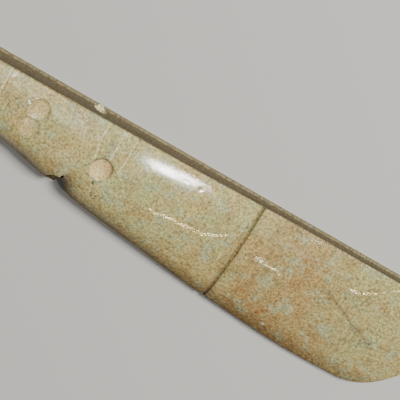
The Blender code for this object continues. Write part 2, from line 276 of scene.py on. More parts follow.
@dataclass
class CeltForm:
    """Outline and thickness of the half celt that everything is carved from."""

    length: float = 198.0 * MM
    ridge_width: float = 0.7 * MM
    ridge_height: float = 1.1 * MM
    ridge_lip: float = 0.55
    arris: float = 0.35 * MM
    end_corner: float = 2.6 * MM
    blade_settle: float = 0.101
    side: RimShape = RimShape(2.6 * MM, 2.6 * MM, 8.0, 0.5)
    poll: RimShape = RimShape(3.4 * MM, 2.4 * MM, 4.0, 0.5)
    bit: RimShape = RimShape(0.7 * MM, 0.9 * MM, 2.6, 0.8)
    widths_mm: tuple[float, ...] = (19.4, 24.6, 25.6, 27.1, 24.8, 28.4, 28.9, 32.5, 35.2, 37.3, 37.0)
    poll_width: float = 17.0 * MM
    walls_mm: tuple[float, ...] = (8.6, 10.4, 9.3, 8.3, 6.8, 5.9, 5.9)
    crowns_mm: tuple[float, ...] = (1.9, 1.3, 0.95)
    crests: tuple[float, ...] = (0.57, 0.53, 0.45, 0.48, 0.35, 0.21)
    places: dict[Landmark, float] = field(default_factory=dict)

    def __post_init__(self) -> None:
        """Lay the named places out and make the width and wall curves."""
        at = 0.0
        for mark in Landmark:
            at += mark.value * self.length
            self.places[mark] = at
        marks = [m for m in Landmark if m is not Landmark.POLL]
        spots = (0.0, *(self.places[m] for m in marks))
        self.width_curve = Curve(spots, (self.poll_width, *(w * MM for w in self.widths_mm)))
        named = (Landmark.BROW, Landmark.ELBOW, Landmark.BELLY, Landmark.BELT)
        spots = (0.0, *(self.places[m] for m in named))
        settle = self.places[Landmark.BELT] + self.blade_settle * self.length
        spots = (*spots, settle, self.places[Landmark.BIT])
        self.wall_curve = Curve(spots, tuple(w * MM for w in self.walls_mm))
        spots = (settle, self.places[Landmark.BULGE], self.places[Landmark.BIT])
        self.crown_curve = Curve(spots, tuple(c * MM for c in self.crowns_mm))
        named = (Landmark.ELBOW, Landmark.BELLY, Landmark.BELT)
        self.crest_curve = Curve((*(self.places[m] for m in named), *spots), self.crests)
        self.wall_y = max(self.widths_mm) * MM / 2 - self.ridge_width

    def end_share(self, along: np.ndarray) -> np.ndarray:
        """Return how far places lie into a rounded end, from 0 in the body to nearly 1."""
        poll_at, bit_at = self.places[Landmark.POLL], self.places[Landmark.BIT]
        poll_tip = math.sqrt(1.0 - (self.end_corner / self.poll_width) ** 2)
        bit_tip = math.sqrt(1.0 - (self.end_corner / (self.widths_mm[-1] * MM)) ** 2)
        into_poll = poll_tip * np.maximum(poll_at - along, 0.0) / poll_at
        into_bit = bit_tip * np.maximum(along - bit_at, 0.0) / (self.length - bit_at)
        return into_poll + into_bit

    def full_width(self, along: np.ndarray) -> np.ndarray:
        """Return widths from the wall to the edge before the ends are rounded."""
        return self.width_curve.at(along) - self.ridge_width

    def width(self, along: np.ndarray) -> np.ndarray:
        """Return widths from the sawn wall to the rounded edge."""
        return self.full_width(along) * np.sqrt(1.0 - self.end_share(along) ** 2)

    def rim_values(self, along: np.ndarray, across: np.ndarray) -> tuple[np.ndarray, ...]:
        """Find nearness to the outline and the rim's four values at plan places.

        Args:
            along: distances from the head's end.
            across: distances from the sawn wall.

        Returns:
            Nearness from 0 to 1, then edge height, undercut, squareness and steepness.
        """
        share = self.end_share(along)
        near = np.hypot(share, across / self.full_width(along))
        lean = ease(share / np.maximum(near, TINY))
        at_poll = along < self.length / 2
        values = []
        for name in ("height", "undercut", "squareness", "steepness"):
            side = getattr(self.side, name)
            end = np.where(at_poll, getattr(self.poll, name), getattr(self.bit, name))
            values.append(side + (end - side) * lean)
        return (np.minimum(near, 1.0), *values)

    def front(self, along: np.ndarray, across: np.ndarray) -> np.ndarray:
        """Return heights of the uncarved front above the back at plan places."""
        near, edge, _, squareness, steepness = self.rim_values(along, across)
        share = across / self.width(along)
        swell = 4 * self.crown_curve.at(along) * share * (2 * self.crest_curve.at(along) - share)
        top = self.wall_curve.at(along) + swell
        drop = np.maximum(1.0 - near**squareness, 0.0) ** steepness
        return edge + np.maximum(top - edge, 0.0) * drop


class Zone(Enum):
    """Which face of the stone a point of a cross section belongs to."""

    BACK = 0
    UNDER = 1
    FRONT = 2
    WALL = 3
    RIDGE = 4


@dataclass
class SkinGrid:
    """A grid of points over the whole stone, one ring of points to each station.

    Each fine stretch has its start, its end and its step in millimetres.
    """

    form: CeltForm
    back_steps: int = 8
    under_steps: int = 9
    front_steps: int = 116
    front_crowding: float = 1.3
    wall_steps: int = 13
    arris_steps: int = 3
    ridge_steps: int = 3
    end_steps: int = 24
    step: float = 0.5 * MM
    undercut_limit: float = 0.45
    arris_limit: float = 0.1
    arris_start: float = 1.2
    arris_drop: float = 0.9
    ridge_limit: float = 0.4
    ridge_turn: float = 1.5
    ridge_toe: float = 0.5
    fine: tuple[Triple, ...] = (
        (10.0, 12.1, 0.13), (18.7, 24.4, 0.24), (33.4, 35.7, 0.13), (43.8, 51.6, 0.2),
        (60.0, 66.4, 0.24), (66.4, 81.0, 0.2), (121.6, 124.5, 0.12),
    )

    def stations(self) -> np.ndarray:
        """Choose where the rings stand, closer over the carving and at the ends.

        Returns:
            Distances from the head's end, in order.
        """
        poll, bit = self.form.places[Landmark.POLL], self.form.places[Landmark.BIT]
        turns = np.linspace(0.0, math.pi / 2, self.end_steps, endpoint=False)
        turned = 1 - np.cos(turns)
        spots = [poll * turned, self.form.length - (self.form.length - bit) * turned]
        at = poll
        for low, high, step in self.fine:
            spots.append(np.arange(at, low * MM, self.step))
            spots.append(np.arange(low * MM, high * MM, step * MM))
            at = high * MM
        spots.append(np.arange(at, bit + self.step / 2, self.step))
        return np.unique(np.round(np.concatenate(spots), 7))

    def ring_plan(self) -> list[tuple[Zone, float]]:
        """List the points of one ring as a zone and a share of that zone, in order round it."""
        ring = [(Zone.BACK, k / self.back_steps) for k in range(self.back_steps)]
        ring += [(Zone.UNDER, k / self.under_steps) for k in range(self.under_steps + 1)]
        ring += [(Zone.FRONT, k / self.front_steps) for k in range(1, self.front_steps)]
        corner = 1 - self.arris_steps
        ring += [(Zone.WALL, k / self.wall_steps) for k in range(corner, self.wall_steps + 1)]
        ring += [(Zone.RIDGE, k / self.ridge_steps) for k in range(1, self.ridge_steps + 1)]
        return ring

    def layout(self) -> tuple[np.ndarray, ...]:
        """Place every point of the smooth stone.

        Returns:
            Along, across and height of each point, and the zone of each ring point.
        """
        form = self.form
        along = self.stations()
        width = form.width(along)
        _, edge, undercut, _, _ = form.rim_values(along, width)
        undercut = np.minimum(undercut, width * self.undercut_limit)
        wall = form.front(along, np.zeros_like(along))
        arris = np.minimum(form.arris, width * self.arris_limit)
        ridge = np.minimum(form.ridge_height, wall * self.ridge_limit)
        rings = self.ring_plan()
        across = np.zeros((len(along), len(rings)))
        height = np.zeros_like(across)
        for j, (zone, share) in enumerate(rings):
            if zone is Zone.BACK:
                across[:, j] = (form.ridge_width + width - undercut) * share - form.ridge_width
            elif zone is Zone.UNDER:
                turn = math.pi / 2 * share
                across[:, j] = width - undercut * (1 - math.sin(turn))
                height[:, j] = edge * (1 - math.cos(turn))
            elif zone is Zone.FRONT:
                run_in = width * (1 - share**self.front_crowding)
                across[:, j] = np.maximum(run_in, arris * self.arris_start)
                height[:, j] = form.front(along, across[:, j])
            elif zone is Zone.WALL and share < 0:
                turn = math.pi / 2 * (1 + share * self.wall_steps / self.arris_steps)
                across[:, j] = arris * (1 - math.sin(turn))
                height[:, j] = wall - arris * (1 - math.cos(turn)) * self.arris_drop
            elif zone is Zone.WALL:
                drop = arris * self.arris_drop
                height[:, j] = wall - drop + (ridge - wall + drop) * share
            else:
                out = min(1.0, share * self.ridge_turn)
                across[:, j] = -form.ridge_width * out
                height[:, j] = ridge * (1 - (1 - form.ridge_lip) * out)
                if share == 1.0:
                    height[:, j] *= self.ridge_toe
        zones = np.array([zone.value for zone, _ in rings])
        return np.repeat(along[:, None], len(rings), axis=1), across, height, zones


@dataclass(frozen=True)
class CrossLine:
    """A groove sawn straight across the front and round the rounded edge."""

    at: float
    width: float
    depth: float
    wander: float = 0.06 * MM
    wander_run: float = 3.1 * MM
    roundness: float = 2.6

    def depth_at(self, along: np.ndarray, across: np.ndarray) -> np.ndarray:
        """Return how deep the groove is at plan places."""
        middle = self.at + self.wander * np.sin(across / self.wander_run + self.at / MM)
        off = np.abs(along - middle) / (self.width / 2)
        return self.depth * np.clip(1.0 - off**self.roundness, 0.0, 1.0)


@dataclass(frozen=True)
class RouteLine:
    """A shallow groove along plan places, fading at its last end and, if asked, at its first."""

    route: tuple[Pair, ...]
    width: float
    depth: float
    fade: float = 2.0 * MM
    fade_start: bool = False
    roundness: float = 2.2

    def depth_at(self, along: np.ndarray, across: np.ndarray) -> np.ndarray:
        """Return how deep the groove is at plan places."""
        best = np.full(along.shape, 1.0)
        travel = np.zeros(along.shape)
        done = 0.0
        for (a0, c0), (a1, c1) in zip(self.route, self.route[1:]):
            run = math.hypot(a1 - a0, c1 - c0)
            t = ((along - a0) * (a1 - a0) + (across - c0) * (c1 - c0)) / run**2
            t = np.clip(t, 0.0, 1.0)
            away = np.hypot(along - a0 - t * (a1 - a0), across - c0 - t * (c1 - c0))
            closer = away < best
            best = np.where(closer, away, best)
            travel = np.where(closer, done + t * run, travel)
            done += run
        hold = ease((done - travel) / self.fade)
        if self.fade_start:
            hold = hold * ease(travel / self.fade)
        off = best / (self.width / 2)
        return self.depth * hold * np.clip(1.0 - off**self.roundness, 0.0, 1.0)


@dataclass(frozen=True)
class DrillPit:
    """A round-bottomed pit left by a solid drill."""

    along: float
    across: float
    radius: float
    depth: float
    bare: float = 0.6
    rim: float = 0.12 * MM
    # painted shade inside the rim: its ring's middle and width, then how it leans towards the sawn wall
    shade_ring: Pair = (0.93, 0.09)
    shade_aside: Pair = (0.18, 0.98)
    shade_turn: Pair = (0.6, 0.9)

    def away(self, along: np.ndarray, across: np.ndarray) -> np.ndarray:
        """Return distances from the pit's middle as shares of its radius."""
        return np.hypot(along - self.along, across - self.across) / self.radius

    def rim_shade(self, along: np.ndarray, across: np.ndarray) -> np.ndarray:
        """Return the painted shade just inside the rim, strongest towards the sawn wall, where the rim
        shades the pit.
        """
        middle, width = self.shade_ring
        ring = np.exp(-(((self.away(along, across) - middle) / width) ** 2))
        (run, lift), (base, more) = self.shade_aside, self.shade_turn
        aside = run * (along - self.along) - lift * (across - self.across)
        return self.bare * ring * ease(base + more * aside / self.radius)

    def depth_at(self, along: np.ndarray, across: np.ndarray) -> np.ndarray:
        """Return how deep the pit is at plan places."""
        ball = (self.radius**2 + self.depth**2) / (2 * self.depth)
        off = np.minimum(self.away(along, across), 1.0) * self.radius
        bowl = np.sqrt(ball**2 - off**2) - (ball - self.depth)
        soft = np.sqrt(bowl**2 + self.rim**2) - self.rim
        return np.maximum(soft, 0.0)


@dataclass(frozen=True)
class Patch:
    """A soft, slightly ragged oval on the front, for a stain, a painted glint or a small loss."""

    along: float
    across: float
    long: float
    wide: float
    turn: float = 0.0
    power: float = 1.0
    lobes: Pair = (0.16, 0.1)

    def share_at(self, along: np.ndarray, across: np.ndarray) -> np.ndarray:
        """Return the patch's strength at plan places, from 0 outside to its power inside."""
        da, dc = along - self.along * MM, across - self.across * MM
        cos, sin = math.cos(math.radians(self.turn)), math.sin(math.radians(self.turn))
        u = (da * cos + dc * sin) / (self.long * MM)
        v = (dc * cos - da * sin) / (self.wide * MM)
        angle = np.arctan2(v, u)
        three, five = self.lobes
        ragged = 1.0 + three * np.sin(3 * angle + self.along) + five * np.sin(5 * angle + self.across)
        return self.power * (1.0 - ease(np.hypot(u, v) / ragged))


class Stain(Enum):
    """The kinds of mark on the stone, stains and painted glints; each value is the name of its mask."""

    ORANGE = "orange"
    BROWN = "brown"
    OLIVE = "olive"
    BLUE = "blue"
    DARK = "dark"
    PALE = "pale"
    # painted glints: near-white spots that stand in for highlights
    LIGHT = "light"


@dataclass
class Carving:
    """Every groove, pit and small loss of the carved front.

    A bowl has its radius and depth, a pit of the throat its across and how bare it is, and an arm
    line its run from the neck, its bow and its reach. A loss has its patch and depth in millimetres.
    """

    form: CeltForm
    belt_width: float = 1.15 * MM
    belt_depth: float = 0.55 * MM
    line_width: float = 0.95 * MM
    line_depth: float = 0.24 * MM
    headband_from_poll: float = 2.0 * MM
    mouth_from_brow: float = 18.5 * MM
    arm_bend: float = 4.0 * MM
    arm_steps: int = 9
    arm_start: float = -1.5 * MM
    arm_runs: tuple[Triple, ...] = (
        (3.0 * MM, 1.6 * MM, 13.0 * MM),
        (8.7 * MM, 0.0, 10.5 * MM),
        (13.1 * MM, 0.0, 12.5 * MM),
    )
    nose_widths: Pair = (2.4 * MM, 5.0 * MM)
    nose_length: float = 12.0 * MM
    nose_gap: float = 2.0 * MM
    nose_fade: float = 1.5 * MM
    eye_from_brow: float = 5.5 * MM
    eye_spread: float = 9.6 * MM
    eye_bowl: Pair = (2.3 * MM, 0.85 * MM)
    throat_from_chin: float = -4.4 * MM
    throat_bowl: Pair = (3.5 * MM, 0.75 * MM)
    throat_pits: tuple[Pair, ...] = ((6.9 * MM, 0.5), (12.9 * MM, 0.35))
    hand_across: float = 13.6 * MM
    hand_bowl: Pair = (3.7 * MM, 1.5 * MM)
    bare_edge: float = 0.3 * MM
    losses: tuple[tuple[float, ...], ...] = (
        (73.3, 18.6, 1.5, 0.55, 62.0, 0.5), (75.1, 22.4, 1.5, 0.45, 70.0, 0.4),
        (50.3, 23.3, 1.3, 0.9, 10.0, 0.35), (67.3, 23.2, 0.7, 0.5, 20.0, 0.2),
        (96.2, 28.2, 0.9, 0.6, 0.0, 0.3), (113.2, 30.3, 0.8, 0.6, 0.0, 0.25),
        (118.6, 32.3, 0.9, 0.6, 0.0, 0.25), (48.2, 1.6, 0.45, 0.4, 0.0, 0.15),
        (104.3, 0.9, 0.5, 1.4, 8.0, 0.2), (139.6, 2.2, 0.4, 0.4, 0.0, 0.12),
        (87.4, 0.3, 1.3, 0.5, 0.0, 0.15), (112.0, 0.3, 0.9, 0.4, 0.0, 0.12),
        (151.0, 0.3, 1.2, 0.5, 0.0, 0.12), (26.0, 0.3, 1.2, 0.5, 0.0, 0.15),
    )

    def arm_route(self, at: float, bow: float, reach: float) -> tuple[Pair, ...]:
        """Plan one arm line from beyond the arris to its reach.

        Args:
            at: its place along the stone where it is straight.
            bow: how far its ends lie towards the blade.
            reach: how far it runs across the front.

        Returns:
            Plan places along the line.
        """
        route = [(at + bow, self.arm_start)]
        for k in range(self.arm_steps + 1):
            across = reach * k / self.arm_steps
            bend = math.exp(-(((across - self.arm_bend) / self.arm_bend) ** 2) / 2)
            route.append((at + bow * (1 - bend), across))
        return tuple(route)

    def face_middle(self) -> Pair:
        """Return the plan place midway between the eyes."""
        eye = self.form.places[Landmark.BROW] + self.eye_from_brow
        return eye, float(self.form.width(np.array([eye]))[0]) / 2

    def pits(self) -> list[DrillPit]:
        """Place the drilled pits: the hand, the throat's two and the eyes."""
        spots = self.form.places
        throat = spots[Landmark.CHIN] + self.throat_from_chin
        eye, middle = self.face_middle()
        pits = [DrillPit(spots[Landmark.ELBOW], self.hand_across, *self.hand_bowl, 1.0)]
        pits += [DrillPit(throat, at, *self.throat_bowl, bare) for at, bare in self.throat_pits]
        aside = (-self.eye_spread / 2, self.eye_spread / 2)
        return pits + [DrillPit(eye, middle + off, *self.eye_bowl) for off in aside]

    def arm_lines(self) -> list[RouteLine]:
        """Plan the three lines that frame the arm's two bands."""
        neck = self.form.places[Landmark.NECK]
        routes = [self.arm_route(neck + at, bow, reach) for at, bow, reach in self.arm_runs]
        return [RouteLine(route, self.line_width, self.line_depth) for route in routes]

    def nose_lines(self) -> list[RouteLine]:
        """Plan the two lines that frame the nose."""
        mouth = self.form.places[Landmark.BROW] + self.mouth_from_brow
        start = mouth - self.nose_length - self.nose_gap
        middle = self.face_middle()[1]
        lines = []
        for side in (-1, 1):
            top, base = (middle + side * w / 2 for w in self.nose_widths)
            route = ((start, top), (start + self.nose_length, base))
            lines.append(RouteLine(route, self.line_width, self.line_depth, self.nose_fade, True))
        return lines

    def cross_lines(self) -> list[CrossLine]:
        """Place the two lines that run right across the head: the mouth and the headband."""
        spots = self.form.places
        mouth = spots[Landmark.BROW] + self.mouth_from_brow
        headband = spots[Landmark.POLL] + self.headband_from_poll
        return [CrossLine(at, self.line_width, self.line_depth) for at in (mouth, headband)]

    def relief(self, along: np.ndarray, across: np.ndarray) -> dict[str, np.ndarray]:
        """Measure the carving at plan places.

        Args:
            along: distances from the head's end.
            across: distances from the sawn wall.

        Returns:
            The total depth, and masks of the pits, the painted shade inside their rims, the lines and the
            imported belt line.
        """
        belt_line = CrossLine(self.form.places[Landmark.BELT], self.belt_width, self.belt_depth)
        belt = belt_line.depth_at(along, across)
        cuts = self.cross_lines() + self.arm_lines() + self.nose_lines()
        line = np.maximum.reduce([cut.depth_at(along, across) for cut in cuts])
        pit, bare, rim = (np.zeros_like(along) for _ in range(3))
        for hole in self.pits():
            deep = hole.depth_at(along, across)
            pit = np.maximum(pit, deep)
            bare = np.maximum(bare, hole.bare * ease(deep / self.bare_edge))
            rim = np.maximum(rim, hole.rim_shade(along, across))
        loss = np.zeros_like(along)
        for *sizes, depth in self.losses:
            loss = np.maximum(loss, depth * MM * Patch(*sizes).share_at(along, across))
        return {
            "depth": np.maximum(np.maximum(line, belt), pit) + loss,
            "hollow": bare,
            "rim": rim,
            "line": np.clip(line / self.line_depth, 0.0, 1.0),
            "belt": np.clip(belt / self.belt_depth, 0.0, 1.0),
        }


@dataclass(frozen=True)
class Staining:
    """Where the stone's stains and painted glints lie, on the plan of the front in millimetres.

    A patch has its along, across, half length, half width, turn and power. The facet line has its
    along, its across and how clear it is.
    """

    patches: tuple[tuple[Stain, tuple[tuple[float, ...], ...]], ...] = (
        (Stain.ORANGE, (
            (126.6, 9.5, 4.5, 3.2, 20.0, 0.55), (131.5, 31.3, 3.5, 2.2, 10.0, 0.8),
            (140.7, 28.9, 4.5, 2.6, -30.0, 0.8), (63.6, 18.7, 4.5, 2.6, 15.0, 0.45),
            (44.0, 9.6, 1.8, 0.8, 40.0, 0.9), (137.6, 4.7, 2.6, 1.4, 10.0, 0.5),
            (130.2, 26.0, 5.5, 3.6, 60.0, 0.6), (144.0, 9.0, 5.5, 3.0, 20.0, 0.4),
            (60.5, 6.4, 3.2, 1.6, 10.0, 0.35), (155.9, 14.8, 1.1, 0.9, 0.0, 0.9),
        )),
        (Stain.BROWN, (
            (127.6, 15.5, 4.0, 3.6, 0.0, 0.6), (134.8, 16.7, 2.8, 2.0, 0.0, 0.4),
            (126.0, 22.0, 3.6, 4.2, 20.0, 0.5), (159.9, 12.5, 1.6, 1.0, 0.0, 0.4),
            (170.0, 21.0, 6.0, 6.0, 0.0, 0.45), (156.0, 27.0, 7.0, 3.0, 0.0, 0.4),
            (53.7, 10.3, 2.6, 1.7, 30.0, 0.4), (92.3, 13.2, 3.0, 1.6, 30.0, 0.6),
            (79.6, 19.2, 1.0, 0.7, 0.0, 0.6), (120.9, 20.0, 1.2, 2.4, 0.0, 0.7),
            (85.0, 24.5, 5.0, 2.0, 0.0, 0.35), (107.0, 15.5, 4.0, 2.0, 20.0, 0.35),
            (72.6, 6.0, 2.6, 5.5, 0.0, 0.4), (77.2, 6.0, 1.8, 5.0, 0.0, 0.3),
            (166.0, 26.0, 9.0, 6.0, 20.0, 0.22),
        )),
        (Stain.OLIVE, (
            (78.2, 21.4, 1.2, 0.9, 0.0, 0.7), (67.0, 22.6, 1.2, 0.8, 0.0, 0.7),
            (156.0, 14.8, 1.1, 0.8, 0.0, 0.9),
        )),
        (Stain.BLUE, (
            (141.2, 9.8, 3.2, 2.0, 30.0, 0.9), (133.6, 19.3, 2.6, 1.8, 10.0, 0.8),
            (135.6, 23.0, 3.0, 1.6, 70.0, 0.6), (145.6, 24.4, 3.4, 2.0, 30.0, 0.7),
            (149.3, 16.4, 2.8, 1.6, 20.0, 0.7), (156.6, 21.3, 3.4, 2.0, 0.0, 0.7),
            (165.0, 12.5, 4.2, 2.2, 20.0, 0.6), (158.3, 5.5, 5.0, 2.2, 0.0, 0.4),
            (115.8, 22.3, 3.6, 2.6, 20.0, 0.6), (110.5, 5.5, 5.5, 2.6, 0.0, 0.6),
            (40.9, 8.0, 2.6, 1.8, 20.0, 0.9), (55.5, 15.9, 2.0, 1.4, 0.0, 0.8),
            (65.1, 6.0, 2.4, 1.3, 80.0, 0.8), (56.3, 2.4, 3.0, 1.6, 0.0, 0.5),
            (83.6, 16.4, 2.2, 1.6, 40.0, 0.6), (91.3, 10.2, 2.8, 1.6, 40.0, 0.6),
            (98.9, 11.0, 3.0, 1.8, 0.0, 0.6), (75.3, 20.6, 2.2, 0.5, 62.0, 0.9),
        )),
        (Stain.DARK, (
            (39.5, 7.2, 0.55, 0.5, 0.0, 0.9), (48.2, 1.6, 0.6, 0.5, 0.0, 0.8),
            (63.8, 10.6, 0.5, 0.9, 0.0, 0.8), (57.3, 12.6, 0.6, 0.6, 0.0, 0.6),
            (118.0, 16.8, 0.7, 0.6, 0.0, 0.6), (123.4, 16.2, 0.6, 0.6, 0.0, 0.7),
            (139.6, 2.2, 0.5, 0.5, 0.0, 0.6), (73.3, 18.6, 1.2, 0.4, 62.0, 1.0),
            (75.1, 22.4, 1.2, 0.35, 70.0, 0.8),
        )),
        (Stain.PALE, (
            (46.6, 11.6, 2.4, 2.2, 0.0, 0.8), (71.6, 15.6, 2.0, 1.4, 0.0, 0.8),
            (62.5, 14.5, 7.0, 5.0, 0.0, 0.3),
        )),
        # painted glints: near-white marks that stand in for highlights
        (Stain.LIGHT, (
            (68.5, 3.7, 1.9, 0.5, -68.0, 1.0), (74.2, 1.0, 1.3, 0.9, 0.0, 1.0),
            (35.6, 1.7, 1.9, 0.9, -62.0, 1.0), (143.2, 32.4, 1.0, 0.6, 20.0, 0.9),
        )),
    )
    crack_width: float = 0.9 * MM
    crack_fade: float = 3.0 * MM
    facet_reach: Pair = (-4.0, 6.0)
    facet_end: float = 5.9
    facet: tuple[Triple, ...] = (
        (91.0, 16.6, 0.0), (93.0, 17.0, 1.0), (94.5, 17.4, 1.0), (97.7, 16.9, 1.0),
        (102.3, 16.4, 1.0), (110.6, 16.2, 1.0), (114.0, 14.9, 1.0), (117.0, 13.0, 1.0),
        (119.0, 12.0, 0.0), (127.5, 14.2, 0.0), (130.0, 14.5, 0.8), (138.5, 15.4, 0.8),
        (141.0, 15.6, 0.0), (158.5, 9.4, 0.0), (160.5, 9.1, 1.0), (163.0, 8.6, 1.0),
        (165.5, 7.6, 1.0), (168.2, 5.8, 1.0), (172.3, 2.6, 1.0), (175.0, 0.5, 0.0),
    )
    crack: tuple[Pair, ...] = (
        (152.6, 11.8), (154.9, 13.3), (161.1, 16.0), (166.7, 18.7), (172.3, 20.8), (175.5, 22.2),
        (178.4, 25.4),
    )

    def masks(self, along: np.ndarray, across: np.ndarray) -> dict[str, np.ndarray]:
        """Measure every stain at plan places.

        Args:
            along: distances from the head's end.
            across: distances from the sawn wall.

        Returns:
            One mask for each kind of stain or painted glint and for the healed crack, and the facet line's
            two.
        """
        found = {kind.value: np.zeros_like(along) for kind in Stain}
        for kind, patches in self.patches:
            shares = [Patch(*sizes).share_at(along, across) for sizes in patches]
            found[kind.value] = np.maximum.reduce([found[kind.value], *shares])
        route = tuple((a * MM, c * MM) for a, c in self.crack)
        crack = RouteLine(route, self.crack_width, 1.0, self.crack_fade, True)
        found["crack"] = crack.depth_at(along, across)
        places, middles, holds = (np.array(column) * MM for column in zip(*self.facet))
        off = (across - np.interp(along, places, middles)) / MM
        found["facet_off"] = np.clip(off, *self.facet_reach)
        found["facet_hold"] = np.interp(along, places, holds) / MM * (np.abs(off) < self.facet_end)
        return found


@dataclass(frozen=True)
class Gloss:
    """How the polish shines, and how much rougher it is on worn, drilled and sawn places."""

    ior: float = 1.55
    level: float = 0.45
    dull_level: float = 0.05
    coat: float = 0.4
    coat_rough: float = 0.06
    polish: Mottle = Mottle(260.0, 5.0, 0.6, (0.6, 0.6, 0.1), (0.3, 0.7), (0.11, 0.17))
    hollow_rough: float = 0.22
    dull_rough: float = 0.42
    matte_rough: float = 0.3
    flank_dull: float = 0.8


@dataclass(frozen=True)
class FacetLine:
    """The narrow line between two polished planes that catches the small light, in millimetres."""

    half_width: float = 0.45
    waver: float = 1.6
    wave: Mottle = Mottle(420.0, 3.0, 0.6, (0.3, 0.3, 0.3))
    settles: Pair = (0.4, 5.5)
    height: float = 0.28
    bare: Pair = (0.5, 0.9)
    level: float = 0.4
    plain: Colour = (1.0, 1.0, 1.0, 1.0)
    gold: Colour = (1.0, 0.78, 0.42, 1.0)


@dataclass(frozen=True)
class BoreLook:
    """Where the hole's mouths lie on Y, how they look, and how far in that look reaches; the pale end is
    painted light and the dark beyond the lip painted shade.
    """

    mouth: float
    wall_mouth: float
    lip: Colour = (0.800, 0.620, 0.480, 1.0)
    # painted light: pale cream where the bore meets the sawn wall
    end: Colour = (0.930, 0.830, 0.480, 1.0)
    recess: Pair = (0.5 * MM, 1.15 * MM)
    wall_end: Pair = (2.0 * MM, 1.0 * MM)


